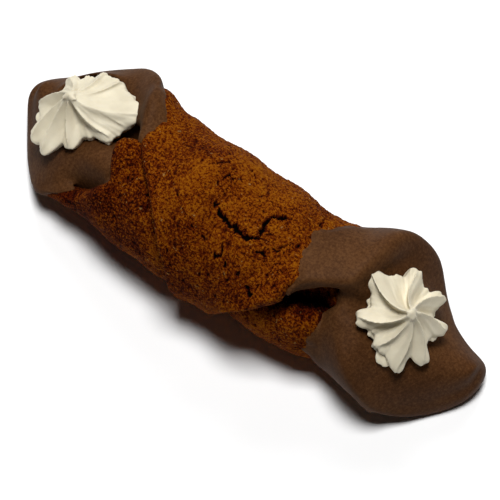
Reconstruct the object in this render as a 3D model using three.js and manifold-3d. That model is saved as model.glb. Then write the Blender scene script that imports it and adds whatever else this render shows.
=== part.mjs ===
// Cannoli biscuit: one sheet of dough rolled into a tube, its front flap tucked under its back flap,
// both ends dipped in chocolate coating, and cream that runs through the roll and ends in a piped star
// at each mouth.
//
// Millimetres, +Z up. The roll lies along X with its bottom pressed flat on Z = 0. Its open side, where
// the back flap comes over the top, faces the front (-Y). Angles go round the roll in degrees from its
// bottom line: positive up the back wall (+Y) and over the top, negative up the front wall (-Y).
import * as THREE from "three";
import { mergeVertices } from "three/addons/utils/BufferGeometryUtils.js";
import Module from "manifold-3d";

const wasm = await Module();
wasm.setup();

const { clamp, smoothstep, degToRad, radToDeg } = THREE.MathUtils;

// ---------------------------------------------------------------- driving dimensions

const DOUGH = 4.8; // thickness of the baked sheet
const LAP_AIR = 0.4; // air left between the two flaps
const FLAT = 1.2; // depth that the baking tray takes off the round bottom
const COAT = 1.0; // thickness of the chocolate coating
const CLEAR = 0.3; // air between the coating or the cream and the dough
const EDGE_ROUND = 3; // how far in from a free edge the dough starts to round off

// How far the outer face of the wall stands from the roll's axis, as [distance along the roll, radius].
const BACK_WALL = [
  [-62, 16],
  [-48, 16.9],
  [-39, 16.2],
  [-34, 14.5],
  [-31, 15.1],
  [-10, 15.2],
  [5, 14.4],
  [17, 13.6],
  [23, 14.2],
  [30, 17.4],
  [38, 18.6],
  [44, 17.5],
  [50, 15.5],
  [64, 14],
];
const FRONT_WALL = [
  [-62, 15.5],
  [-48, 16.4],
  [-43, 16.5],
  [-38, 16.3],
  [-31, 16.6],
  [-22, 17.6],
  [-16, 18.2],
  [-9, 18.6],
  [0, 17.2],
  [9, 16.6],
  [18, 16],
  [23, 15],
  [27, 12.6],
  [31, 12.2],
  [37, 14],
  [42, 14.6],
  [49, 14],
  [64, 13],
];
const WALL = 15.5; // its radius where the roll is round and even

// The sheet's two free edges, as [angle, distance along the roll], from the tip of the front flap,
// through the lip at the end of the roll, to the tip of the back flap.
const RIGHT_EDGE = [
  [-198, 22],
  [-180, 28.5],
  [-150, 32],
  [-110, 39.5],
  [-90, 43.5],
  [-60, 47.5],
  [-30, 52.6],
  [-14, 55.6],
  [5, 60],
  [28, 62.6],
  [45, 60.8],
  [51, 52.5],
  [58, 46.5],
  [80, 41.5],
  [105, 37],
  [130, 34.5],
  [180, 31.5],
  [188, 29],
  [210, 21],
  [234, 13.5],
  [247, 9],
  [265, 5],
  [288, 0],
];
const LEFT_EDGE = [
  [-198, -24],
  [-180, -29],
  [-160, -33],
  [-138, -33],
  [-124, -35],
  [-104, -38.5],
  [-85, -43.5],
  [-60, -50],
  [-28, -57],
  [0, -61.3],
  [22, -63.2],
  [41, -61.6],
  [64, -54.5],
  [88, -47],
  [130, -36.8],
  [180, -28.7],
  [194, -24.8],
  [210, -18.8],
  [240, -10],
  [256, -8],
  [288, -7],
];
const FRONT_TIP = RIGHT_EDGE[0][0];
const BACK_TIP = RIGHT_EDGE[RIGHT_EDGE.length - 1][0];

// Where the coating stops on each end, as [angle, distance along the roll].
const RIGHT_DIP = [
  [-180, 28],
  [-156, 27.2],
  [-132, 23.8],
  [-94, 25],
  [-81, 27],
  [0, 32],
  [70, 22],
  [110, 22],
  [136, 20.2],
  [153, 17],
  [167, 13],
  [180, 14.5],
  [197, 16],
  [210, 18.5],
  [262, 22],
];
const LEFT_DIP = [
  [-180, -38],
  [-90, -49],
  [0, -44],
  [70, -37],
  [120, -36],
  [138, -34.2],
  [151, -30],
  [168, -28.5],
  [182, -27],
  [262, -24],
];

// The deepest cracks of the crust, on the back flap: a path of [angle, distance along the roll] each.
const CRACKS = [
  {
    width: 1.1,
    depth: 1.6,
    path: [
      [191, -4.8],
      [194, -1.5],
      [197.5, 2.2],
      [198, 5],
      [189, 6],
      [176, 6.3],
      [168, 10.2],
    ],
  },
  {
    width: 0.7,
    depth: 1,
    path: [
      [204, 0.8],
      [209, 1.4],
      [213, 2],
      [215, 0],
    ],
  },
];

// ---------------------------------------------------------------- the rolled sheet

// Reads a smooth line through pairs of [x, value].
function lineAt(pairs, x) {
  const last = pairs.length - 1;
  let k = 0;
  while (k < last - 1 && x > pairs[k + 1][0]) k++;
  const slope = (i) => {
    const a = pairs[Math.max(i - 1, 0)];
    const b = pairs[Math.min(i + 1, last)];
    return (b[1] - a[1]) / (b[0] - a[0]);
  };
  const [x0, y0] = pairs[k];
  const [x1, y1] = pairs[k + 1];
  const width = x1 - x0;
  const t = clamp((x - x0) / width, 0, 1);
  const rise = t * t * (3 - 2 * t);
  return (
    y0 * (1 - rise) +
    y1 * rise +
    width * (slope(k) * t * (1 - t) ** 2 - slope(k + 1) * t * t * (1 - t))
  );
}

// A soft bump or dent: amount, at this angle and place along the roll, spread over these widths.
const bell = (x, width) => Math.exp(-((x / width) ** 2));
const bumpAt = (bump, angle, along) =>
  bump.amount * bell(angle - bump.angle, bump.round) * bell(along - bump.along, bump.wide);
const LIFTED_EDGE = { amount: 2.4, angle: 228, along: 23, round: 30, wide: 11 };
const PRESSED_TIP = { amount: -3.8, angle: 288, along: -2, round: 45, wide: 8 };

// The uneven surface of hand-rolled dough: the same for both flaps where they lie on each other.
function wobbleAt(angle, along) {
  const turn = degToRad(angle);
  return (
    0.3 * Math.sin(along * 0.13 + 1.3) * Math.cos(turn * 2 + 0.6) +
    0.2 * Math.sin(along * 0.31 + 3 * turn + 2.1) +
    0.15 * Math.cos(along * 0.47 - 4 * turn)
  );
}

// Near its ends the roll opens a little, and its underside lifts clear of the tray by the coating's room.
const openAt = (along) => 1 + 0.22 * smoothstep(Math.abs(along), 34, 62);
const liftAt = (along) => (COAT + CLEAR) * smoothstep(Math.abs(along), 22, 36);

// The middle of the sheet. The front flap keeps the roll's radius, and the back flap climbs over it.
function middle(angle, along) {
  const open = openAt(along);
  const turn = degToRad(angle) / open;
  const back = (1 + Math.sin(turn)) / 2;
  const wall = lineAt(FRONT_WALL, along) * (1 - back) + lineAt(BACK_WALL, along) * back;
  const pressed = bumpAt(PRESSED_TIP, angle < 0 ? angle + 360 : angle, along);
  const radius = (wall - DOUGH / 2 + wobbleAt(angle, along) + pressed) * open;
  const climb = (DOUGH + LAP_AIR) * smoothstep(angle, 50, 165) + bumpAt(LIFTED_EDGE, angle, along);
  return new THREE.Vector3(
    along,
    (radius + climb) * Math.sin(turn),
    DOUGH / 2 - FLAT + radius - (radius + climb) * Math.cos(turn),
  );
}

// Which way the sheet's outer face looks.
function outward(angle, along) {
  const roundIt = middle(angle + 0.5, along).sub(middle(angle - 0.5, along));
  const alongIt = middle(angle, along + 0.3).sub(middle(angle, along - 0.3));
  return roundIt.cross(alongIt).normalize();
}

// The back flap thins towards its tip and its left edge, where it was pressed down.
function doughAt(angle, along) {
  const nearEdge = 1 - smoothstep(along - lineAt(LEFT_EDGE, angle), 0, 16);
  const nearTip = smoothstep(angle, 230, BACK_TIP);
  return DOUGH * (1 - 0.35 * Math.max(nearEdge, nearTip) * smoothstep(angle, 150, 200));
}

// Length along the roll's round, in millimetres, for an angle, and back.
const arcAt = (angle) => degToRad(angle) * (WALL - DOUGH / 2);
const angleOf = (arc) => radToDeg(arc / (WALL - DOUGH / 2));

// Places from one end of a range to the other, closer together where both ends round off.
function places(from, to, round, steps) {
  const EDGE_STEPS = 2;
  const reach = Math.min(round, (to - from) * 0.35);
  const rim = Array.from(
    { length: EDGE_STEPS },
    (_, i) => reach * (1 - Math.cos(((i * Math.PI) / 2) / EDGE_STEPS)),
  );
  const inner = Array.from(
    { length: steps + 1 },
    (_, i) => from + reach + ((to - from - 2 * reach) * i) / steps,
  );
  return [
    ...rim.map((r) => from + r),
    ...inner,
    ...rim.map((r) => to - r).reverse(),
  ];
}

// How full the thickness is at a distance in from a rounded edge.
const fullness = (distance, round) => Math.sqrt(1 - (1 - clamp(distance / round, 0, 1)) ** 2);

// The two places along the roll where the sheet ends at this angle. Both flaps' tips are rounded.
function sheetEnds(angle) {
  const low = lineAt(LEFT_EDGE, angle);
  const high = lineAt(RIGHT_EDGE, angle);
  const fromTip = arcAt(Math.min(angle - FRONT_TIP, BACK_TIP - angle));
  const half = ((high - low) / 2) * (0.45 + 0.55 * fullness(fromTip, 7));
  return [(low + high) / 2 - half, (low + high) / 2 + half];
}

// A closed slab of the rolled sheet over a run of angles, between the places that ends gives for each.
// grow thickens it and moves its free edges out, as a coating does. It rounds off at the two tips'
// angles, and a run that stops before them ends flat.
function slab({ angles, ends, grow, columns, tips }) {
  const round = EDGE_ROUND + grow;
  const skins = { 1: [], "-1": [] };
  let width = 0;
  for (const angle of angles) {
    const fromTip = arcAt(Math.min(angle - tips[0], tips[1] - angle));
    const [low, high] = ends(angle);
    const edgeRound = Math.min(round, (high - low) * 0.35);
    const stations = places(low - grow, high + grow, round, columns);
    width = stations.length;
    for (const along of stations) {
      const fromEdge = Math.min(along - stations[0], stations[width - 1] - along);
      const full = fullness(fromTip, round) * fullness(fromEdge, edgeRound);
      const lift = liftAt(along);
      const lining = smoothstep(Math.abs(along), 27, 35);
      for (const side of [1, -1]) {
        const thick = doughAt(angle, along) / 2 + grow * (side > 0 || grow === CLEAR ? 1 : lining);
        const p = middle(angle, along).addScaledVector(outward(angle, along), side * thick * full);
        p.z = Math.max(p.z + lift, lift - grow, 0);
        skins[side].push(p.x, p.y, p.z);
      }
    }
  }
  return toSolid(closedGrid(skins[1], skins[-1], angles.length, width));
}

// Joins two grids of points, face to face, into one closed geometry with their borders stitched.
function closedGrid(outer, inner, rows, columns) {
  const half = rows * columns;
  const index = [];
  const quad = (a, b, c, d) => index.push(a, b, c, a, c, d);
  for (let r = 0; r < rows - 1; r++) {
    for (let c = 0; c < columns - 1; c++) {
      const a = r * columns + c;
      quad(a, a + columns, a + columns + 1, a + 1);
      quad(half + a, half + a + 1, half + a + columns + 1, half + a + columns);
    }
  }
  for (let c = 0; c < columns - 1; c++) {
    const last = (rows - 1) * columns + c;
    quad(c, c + 1, half + c + 1, half + c);
    quad(last, half + last, half + last + 1, last + 1);
  }
  return indexed([...outer, ...inner], index);
}

// A closed tube through rings of points that all hold the same number of points.
function closedTube(rings) {
  const around = rings[0].length;
  const positions = rings.flat().flatMap((p) => p.toArray());
  const index = [];
  for (let r = 0; r < rings.length - 1; r++) {
    for (let c = 0; c < around; c++) {
      const a = r * around + c;
      const b = r * around + ((c + 1) % around);
      index.push(a, b, b + around, a, b + around, a + around);
    }
  }
  for (const [ring, flip] of [
    [0, true],
    [rings.length - 1, false],
  ]) {
    const middlePoint = rings[ring]
      .reduce((sum, p) => sum.add(p), new THREE.Vector3())
      .divideScalar(around);
    const hub = positions.length / 3;
    positions.push(...middlePoint.toArray());
    for (let c = 0; c < around; c++) {
      const a = ring * around + c;
      const b = ring * around + ((c + 1) % around);
      index.push(...(flip ? [hub, b, a] : [hub, a, b]));
    }
  }
  return indexed(positions, index);
}

// Points that lie on each other become one, and triangles with two such corners are dropped.
function indexed(positions, index, within = 1e-3) {
  const loose = new THREE.BufferGeometry();
  loose.setAttribute("position", new THREE.Float32BufferAttribute(positions, 3));
  loose.setIndex(index);
  const geometry = mergeVertices(loose, within);
  const corners = Array.from(geometry.index.array);
  const kept = corners.filter((_, i) => {
    const [a, b, c] = corners.slice(i - (i % 3), i - (i % 3) + 3);
    return a !== b && b !== c && c !== a;
  });
  return geometry.setIndex(kept);
}

// ---------------------------------------------------------------- joining and cutting

function toSolid(geometry) {
  return new wasm.Manifold(
    new wasm.Mesh({
      numProp: 3,
      vertProperties: geometry.attributes.position.array,
      triVerts: new Uint32Array(geometry.index.array),
    }),
  );
}

// A cut leaves some corners a few microns apart, which are joined here.
function toGeometry(solid) {
  const mesh = solid.getMesh();
  const geometry = indexed(Array.from(mesh.vertProperties), Array.from(mesh.triVerts));
  geometry.computeVertexNormals();
  return geometry;
}

// Cutting can leave loose slivers behind; the part is the largest body.
const largest = (solid) => solid.decompose().sort((a, b) => b.volume() - a.volume())[0];

// ---------------------------------------------------------------- the biscuit

const ROWS = 32;
const COLUMNS = 20;

// The whole sheet, grown by some millimetres.
function wholeSheet(grow) {
  const [from, to] = [arcAt(FRONT_TIP) - grow, arcAt(BACK_TIP) + grow];
  const angles = places(from, to, EDGE_ROUND + grow, ROWS).map(angleOf);
  const tips = [angleOf(from), angleOf(to)];
  return slab({ angles, ends: sheetEnds, grow, columns: COLUMNS, tips });
}

// A wedge along a crack in the outer face, which shrinks to almost nothing at both ends.
function crackWedge({ width, depth, path }) {
  const STEPS = 3 * path.length;
  const ABOVE = 0.6;
  const line = new THREE.SplineCurve(path.map(([angle, along]) => new THREE.Vector2(angle, along)));
  const faceAt = ({ x: angle, y: along }) =>
    middle(angle, along).addScaledVector(outward(angle, along), doughAt(angle, along) / 2);
  const points = line.getPoints(STEPS);
  const rings = points.map((at, i) => {
    const size = Math.max(0.2, Math.sin((Math.PI * i) / STEPS) ** 0.6);
    const face = faceAt(at);
    const out = outward(at.x, at.y);
    const ahead = faceAt(points[Math.min(i + 1, STEPS)]).sub(faceAt(points[Math.max(i - 1, 0)]));
    const aside = ahead.cross(out).normalize().multiplyScalar((size * width) / 2);
    return [
      face.clone().addScaledVector(out, ABOVE),
      face.clone().add(aside),
      face.clone().addScaledVector(out, -size * depth),
      face.clone().sub(aside),
    ];
  });
  return toSolid(closedTube(rings));
}

const biscuit = largest(CRACKS.reduce((solid, crack) => solid.subtract(crackWedge(crack)), wholeSheet(0)));
const biscuitWithAir = wholeSheet(CLEAR);

// ---------------------------------------------------------------- the chocolate coating

const SEAM = 8; // angle under the lip where the coating's front and back halves meet

// Values from one to the other in even steps.
const evenly = (from, to, steps) =>
  Array.from({ length: steps + 1 }, (_, i) => from + ((to - from) * i) / steps);

// The coating over the wall from its dip line to the mouth. The two flaps overlap, so the half over
// the front wall and the half over the back wall are built apart and joined at the lip.
function coating({ from, to, ends }) {
  const half = (low, high) => {
    const inner = evenly(FRONT_TIP, BACK_TIP, ROWS).filter((a) => a > low + 9 && a < high - 9);
    const angles = [low, low + 3, low + 7, ...inner, high - 7, high - 3, high];
    return slab({ angles, ends, grow: COAT + CLEAR, columns: 7, tips: [from, to] });
  };
  return half(from, SEAM).add(half(SEAM, to));
}
const RIGHT_COAT = {
  from: -176,
  to: 212,
  ends: (angle) => {
    const high = sheetEnds(angle)[1];
    return [Math.min(lineAt(RIGHT_DIP, angle), high - 0.5), high];
  },
};
const LEFT_COAT = {
  from: -84,
  to: 186,
  ends: (angle) => {
    const low = sheetEnds(angle)[0];
    return [low, Math.max(lineAt(LEFT_DIP, angle), low + 0.5)];
  },
};

// The angle at which one of the sheet's edges comes to this place along the roll.
function rimAngle(edge, from, to, along) {
  let [low, high] = [from, to];
  for (let i = 0; i < 30; i++) {
    const mid = (low + high) / 2;
    const inside = Math.abs(lineAt(edge, mid)) > Math.abs(along);
    if (inside) high = mid;
    else low = mid;
  }
  return (low + high) / 2;
}

// The chocolate that fills a mouth up to its rims and round the star. tops gives the height of its
// middle at each place along the roll, and sag how far it hangs below the front wall's rim.
function mouthFill({ edge, tops, sag }) {
  const ARC = 14;
  const TOP = 8;
  const rings = tops.map(([along, height]) => {
    const front = rimAngle(edge, -175, 10, along);
    const back = rimAngle(edge, 150, 10, along);
    const wallPoints = evenly(front, back, ARC).map((angle) => {
      const p = middle(angle, along);
      return p.setZ(p.z + liftAt(along));
    });
    const [a, b] = [wallPoints[0], wallPoints[ARC]];
    const crown = height - (a.z + b.z) / 2;
    const topPoints = evenly(1, 0, TOP).slice(1, -1).map((t) => {
      const p = a.clone().lerp(b, t);
      return p.setZ(p.z + 4 * t * (1 - t) * crown - sag * (1 - t) ** 2);
    });
    return [...wallPoints, ...topPoints];
  });
  return toSolid(closedTube(edge === RIGHT_EDGE ? rings : rings.map((r) => [...r].reverse())));
}
const RIGHT_FILL = {
  edge: RIGHT_EDGE,
  tops: [
    [33, 24.4],
    [37, 22.8],
    [41, 21.2],
    [45, 19.2],
    [49, 17],
    [54, 14],
    [58, 10.8],
    [62, 6],
  ],
  sag: 0,
};
const LEFT_FILL = {
  edge: LEFT_EDGE,
  tops: [
    [-28, 26],
    [-33, 24.4],
    [-38, 22.8],
    [-43, 21],
    [-48, 19.2],
    [-53, 17.2],
    [-58, 14],
    [-61.5, 9],
  ],
  sag: 1,
};

// ---------------------------------------------------------------- the cream

// A piped star: its base centre, how far its axis tilts from upright and towards which heading, how far
// its tip leans off its axis, and its crests as [heading, reach].
const RIGHT_STAR = {
  centre: [41.3, 3.8, 21],
  tilt: 28,
  heading: -15,
  lean: [-2, -0.8],
  crests: [
    [14, 9.9],
    [68, 9.5],
    [118, 11.4],
    [165, 13],
    [218, 12.7],
    [268, 11.8],
    [298, 12.3],
    [327, 11.3],
  ],
};
const LEFT_STAR = {
  centre: [-47.9, 3.9, 20],
  tilt: 24,
  heading: 201,
  lean: [0.9, -1.3],
  crests: [
    [22, 15.4],
    [77, 11.2],
    [140, 11.6],
    [195, 14],
    [227, 14.6],
    [262, 13.4],
    [302, 9.8],
    [350, 16],
  ],
};
// The star from its underside to its tip, as [height, share of the reach, depth of the grooves].
const STAR_RINGS = [
  [-1.6, 0.5, 0.1],
  [-0.8, 0.86, 0.22],
  [0.6, 1, 0.3],
  [2.4, 0.94, 0.36],
  [4.4, 0.76, 0.42],
  [6.4, 0.54, 0.42],
  [8.2, 0.33, 0.36],
  [9.7, 0.17, 0.25],
  [10.8, 0.07, 0.1],
];
const STAR_SWIRL = 22; // degrees that the crests turn between the rim and the tip

// How far the star reaches at a heading: a sharp crest at each lobe and a round groove between.
function starReach(crests, heading, depth) {
  const turned = ((heading % 360) + 360) % 360;
  const next = crests.findIndex(([at]) => at > turned);
  const b = next < 0 ? crests[0] : crests[next];
  const a = next < 0 ? crests[crests.length - 1] : crests[(next + crests.length - 1) % crests.length];
  const span = (b[0] - a[0] + 360) % 360;
  const t = ((turned - a[0] + 360) % 360) / span;
  return THREE.MathUtils.lerp(a[1], b[1], smoothstep(t, 0, 1)) * (1 - depth * Math.sin(Math.PI * t) ** 0.8);
}

function star({ centre, tilt, heading, lean, crests }, grow) {
  const AROUND = 48;
  const axis = new THREE.Vector3(
    Math.sin(degToRad(tilt)) * Math.cos(degToRad(heading)),
    Math.sin(degToRad(tilt)) * Math.sin(degToRad(heading)),
    Math.cos(degToRad(tilt)),
  );
  const turn = new THREE.Quaternion().setFromUnitVectors(new THREE.Vector3(0, 0, 1), axis);
  const rings = STAR_RINGS.map(([height, share, depth], k) =>
    Array.from({ length: AROUND }, (_, i) => {
      const at = (360 * i) / AROUND;
      const reach = share * starReach(crests, at - STAR_SWIRL * (1 - share), depth) + grow;
      const shift = Math.max(height, 0) / 11;
      const z = height + (k === 0 ? -grow : k > 3 ? grow : 0);
      return new THREE.Vector3(
        reach * Math.cos(degToRad(at)) + lean[0] * shift,
        reach * Math.sin(degToRad(at)) + lean[1] * shift,
        z,
      )
        .applyQuaternion(turn)
        .add(new THREE.Vector3(...centre));
    }),
  );
  return toSolid(closedTube(rings));
}

// The cream inside: a round rope along the roll that narrows and rises to each star.
const ROPE = [
  { at: [-47, 4.2, 19.4], radius: 5 },
  { at: [-43, 3.8, 17], radius: 5.5 },
  { at: [-36, 2.4, 15.2], radius: 6.4 },
  { at: [-26, 0.6, 15], radius: 9 },
  { at: [0, 0.4, 14.6], radius: 9.5 },
  { at: [24, 0.6, 14], radius: 8 },
  { at: [31, 1.4, 14.8], radius: 7.6 },
  { at: [36, 2.6, 17], radius: 7 },
  { at: [40.5, 3.8, 20.4], radius: 6.5 },
];
function rope(grow) {
  const path = new THREE.CatmullRomCurve3(ROPE.map(({ at }) => new THREE.Vector3(...at)));
  const lengthwise = ROPE.map(({ at, radius }) => [at[0], radius]);
  const rings = evenly(0, 1, 14).map((t) => {
    const centre = path.getPoint(t);
    const ahead = path.getTangent(t);
    const up = new THREE.Vector3(0, 0, 1).addScaledVector(ahead, -ahead.z).normalize();
    const aside = ahead.clone().cross(up);
    const radius = lineAt(lengthwise, centre.x) + grow;
    return evenly(0, 360, 18)
      .slice(0, -1)
      .map((a) =>
        centre
          .clone()
          .addScaledVector(up, radius * Math.cos(degToRad(a)))
          .addScaledVector(aside, radius * Math.sin(degToRad(a))),
      );
  });
  return toSolid(closedTube(rings));
}
const creamAt = (grow) => rope(grow).add(star(RIGHT_STAR, grow)).add(star(LEFT_STAR, grow));
const cream = largest(creamAt(0).subtract(biscuitWithAir));

// ---------------------------------------------------------------- the whole part

const creamWithAir = creamAt(CLEAR);
const dipped = (coat, fill) =>
  largest(coating(coat).add(mouthFill(fill)).subtract(biscuitWithAir).subtract(creamWithAir));

function addMesh(group, name, solid, colour, roughness) {
  const material = new THREE.MeshStandardMaterial({ color: colour, roughness, metalness: 0 });
  const mesh = new THREE.Mesh(toGeometry(solid), material);
  mesh.name = name;
  group.add(mesh);
}

const cannoli = new THREE.Group();
addMesh(cannoli, "biscuit_roll", biscuit, 0x7a3c08, 0.85);
addMesh(cannoli, "chocolate_right", dipped(RIGHT_COAT, RIGHT_FILL), 0x4b3320, 0.6);
addMesh(cannoli, "chocolate_left", dipped(LEFT_COAT, LEFT_FILL), 0x4b3320, 0.6);
addMesh(cannoli, "cream_filling", cream, 0xefe6cc, 0.6);

// The origin lies on the tray under the middle of the whole part.
const centre = new THREE.Box3().setFromObject(cannoli).getCenter(new THREE.Vector3());
cannoli.position.set(-centre.x, -centre.y, 0);

export default cannoli;
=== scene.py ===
# Cannoli biscuit: one sheet of almond dough rolled into a tube and baked, with its ends dipped in
# chocolate coating, cream through the middle, and a piped cream star in each mouth.
from itertools import product

import bpy
import numpy as np
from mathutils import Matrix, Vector


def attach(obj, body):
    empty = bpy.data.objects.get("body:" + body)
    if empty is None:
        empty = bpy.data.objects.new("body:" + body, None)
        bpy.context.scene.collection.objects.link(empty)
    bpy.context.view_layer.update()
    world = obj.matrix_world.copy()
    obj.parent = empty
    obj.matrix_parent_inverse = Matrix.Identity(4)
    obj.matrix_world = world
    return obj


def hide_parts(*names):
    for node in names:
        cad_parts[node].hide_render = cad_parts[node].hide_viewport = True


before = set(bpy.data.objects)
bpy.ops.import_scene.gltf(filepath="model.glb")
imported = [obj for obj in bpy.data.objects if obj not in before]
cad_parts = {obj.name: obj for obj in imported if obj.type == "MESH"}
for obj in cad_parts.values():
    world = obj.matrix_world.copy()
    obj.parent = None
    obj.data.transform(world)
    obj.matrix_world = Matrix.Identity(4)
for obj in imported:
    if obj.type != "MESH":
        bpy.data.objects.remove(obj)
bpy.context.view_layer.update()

# ---------------------------------------------------------------- the camera
# It looks steeply down on the roll from its open side and a little from the right, through a long lens.

MM = 0.001  # Blender's unit is the metre
CAMERA_TURN = np.radians(35.5)  # from the front, towards the right
CAMERA_RISE = np.radians(68)
CAMERA_DISTANCE = 600 * MM
CAMERA_AIM = Vector((2.16, -1.36, 14.28)) * MM
LENS = 188.35  # in millimetres, as Blender counts a lens and its sensor
SENSOR_WIDTH = 36

toward_camera = Vector(
    (
        np.sin(CAMERA_TURN) * np.cos(CAMERA_RISE),
        -np.cos(CAMERA_TURN) * np.cos(CAMERA_RISE),
        np.sin(CAMERA_RISE),
    )
)
camera_data = bpy.data.cameras.new("camera")
camera_data.lens = LENS
camera_data.sensor_width = SENSOR_WIDTH
camera_data.clip_start = 10 * MM
camera = bpy.data.objects.new("camera", camera_data)
camera.location = CAMERA_AIM + toward_camera * CAMERA_DISTANCE
camera.rotation_euler = toward_camera.to_track_quat("Z", "Y").to_euler()
bpy.context.collection.objects.link(camera)
bpy.context.scene.camera = camera

# ---------------------------------------------------------------- the biscuit
# A sheet of almond dough, rolled round a tube and baked until its crust is brown, crumbly and cracked.
# Its front flap lies under its back flap, which comes over the top and ends in a point at the front.

DOUGH = 4.8  # thickness of the baked sheet, in millimetres as all sizes of the pieces are
LAP_AIR = 0.4  # air left between the two flaps
FLAT = 1.2  # depth that the baking tray takes off the round bottom
COAT = 1.0  # thickness of the chocolate coating
CLEAR = 0.3  # air that the solids keep between the coating and the dough
EDGE_ROUND = 3  # how far in from a free edge the dough starts to round off
WALL = 15.5  # outer radius where the roll is round and even
MOUTH_GAIN = 0.22  # the share by which the roll is wider at its ends than in its middle
MOUTH = (34, 62)  # from where along the roll, and up to where, it opens towards its ends
CLIMB = (50, 165)  # the angles between which the back flap climbs over the front flap
LIFT = (22, 36)  # from where along the roll, and up to where, its underside lifts off the tray
THINNED = 0.35  # the share of its thickness that the back flap loses where it was pressed down
TIP_ROUND = 7  # how far in from the sheet's first and last corner its ends are rounded
TIP_SHARE = 0.45  # how much of its length the sheet still has at those corners
ROLL_AT = np.array((0.185, -0.575, 0))  # the roll's own zero, seen from the middle of its footprint

# How far the outer face of the wall stands from the roll's axis, as (distance along the roll, radius).
BACK_WALL = np.array(
    [
        (-62, 16), (-48, 16.9), (-39, 16.2), (-34.5, 15.3), (-30, 15.9), (-22, 15), (-10, 15.2),
        (5, 14.4), (17, 13.6), (23, 15), (30, 17.4), (38, 18.6), (44, 17.5), (50, 15.5), (64, 14),
    ]
)
FRONT_WALL = np.array(
    [
        (-62, 15.5), (-48, 16.4), (-43, 16.5), (-38, 16.3), (-31, 16.6), (-22, 17.6), (-16, 18.2),
        (-9, 18.6), (0, 17.2), (9, 16.6), (18, 16), (23, 15), (27, 12.6), (31, 12.2), (37, 14),
        (42, 14.6), (49, 14), (64, 13),
    ]
)

# The sheet's two free edges, as (angle round the roll, distance along it). Angles are in degrees from
# the bottom line, positive up the back wall and over the top, negative up the front wall.
RIGHT_EDGE = np.array(
    [
        (-198, 22), (-180, 28.5), (-150, 32), (-110, 39.5), (-90, 43.5), (-60, 48.3), (-45, 51.8),
        (-30, 54.6), (-14, 57.4), (5, 59.8), (28, 60.9), (45, 59.9), (51, 55.5), (59, 47.3),
        (80, 41.5), (105, 36.8), (130, 32.6), (176, 30), (183, 29), (189, 25.2), (198, 21.2),
        (206, 18.8), (213, 18.4), (219, 18), (226, 15.8), (234, 13.5), (247, 9), (265, 5), (288, 0),
    ]
)
LEFT_EDGE = np.array(
    [
        (-198, -26.5), (-180, -34), (-165, -34), (-152, -32.6), (-138, -31), (-124, -33.2),
        (-104, -36.8), (-85, -42.3), (-60, -50), (-28, -57), (0, -61.3), (22, -63.2), (41, -61.6),
        (64, -54.5), (88, -47), (130, -36.8), (180, -28.7), (194, -24.8), (210, -18.8), (240, -10),
        (256, -8), (288, -7),
    ]
)
FRONT_TIP = RIGHT_EDGE[0, 0]
BACK_TIP = RIGHT_EDGE[-1, 0]

# Soft bumps and dents. Each stands so many millimetres out, or in, at an angle and a distance along the
# roll, and fades over so many degrees round it and millimetres along it. The back flap's edge is lifted
# and its tip pressed down, and the back wall has flat stretches. The front flap is hollow where a gap
# opens under the lifted edge, and where it creases at the left end.
LIFTED_EDGE = {"amount": 2.4, "angle": 228, "along": 23, "round": 30, "wide": 11}
PRESSED_TIP = {"amount": -3.8, "angle": 288, "along": -2, "round": 45, "wide": 8}
DENTS = [
    {"amount": 0.6, "angle": 120, "along": -33.5, "round": 35, "wide": 2},
    {"amount": -0.75, "angle": 115, "along": -28.6, "round": 45, "wide": 3},
    {"amount": -0.9, "angle": 115, "along": -21, "round": 45, "wide": 7},
    {"amount": -1, "angle": 115, "along": -5, "round": 45, "wide": 6},
    {"amount": -2, "angle": 166, "along": -31, "round": 20, "wide": 6},
]
# The crust is also painted darker in these dents: painted shade in the gap under the lifted edge and in
# the crease at the left end.
GAP_DENTS = [
    {"amount": -4.2, "angle": -160, "along": 25, "round": 12, "wide": 3.4},
    {"amount": -4, "angle": -147, "along": 21, "round": 12, "wide": 4.5},
    {"amount": -3, "angle": -138, "along": 16, "round": 12, "wide": 5},
    {"amount": -1.2, "angle": -98, "along": -40, "round": 14, "wide": 4.5},
]


def smooth_step(x, low, high):
    """Rises from 0 to 1 between low and high, with a soft start and end."""
    t = np.clip((x - low) / (high - low), 0, 1)
    return t * t * (3 - 2 * t)


def line_at(pairs, x):
    """Reads a smooth line through pairs of (x, value)."""
    x = np.asarray(x, float)
    last = len(pairs) - 1
    after = np.minimum(np.arange(last + 1) + 1, last)
    before = np.maximum(np.arange(last + 1) - 1, 0)
    slope = (pairs[after, 1] - pairs[before, 1]) / (pairs[after, 0] - pairs[before, 0])
    k = np.clip(np.searchsorted(pairs[:, 0], x) - 1, 0, last - 1)
    width = pairs[k + 1, 0] - pairs[k, 0]
    t = np.clip((x - pairs[k, 0]) / width, 0, 1)
    rise = t * t * (3 - 2 * t)
    bend = slope[k] * t * (1 - t) ** 2 - slope[k + 1] * t * t * (1 - t)
    return pairs[k, 1] * (1 - rise) + pairs[k + 1, 1] * rise + width * bend


def bump_at(bump, angle, along):
    """A soft bump or dent, spread over some degrees and some millimetres."""
    turned = (angle - bump["angle"]) / bump["round"]
    moved = (along - bump["along"]) / bump["wide"]
    return bump["amount"] * np.exp(-(turned**2) - moved**2)


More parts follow.
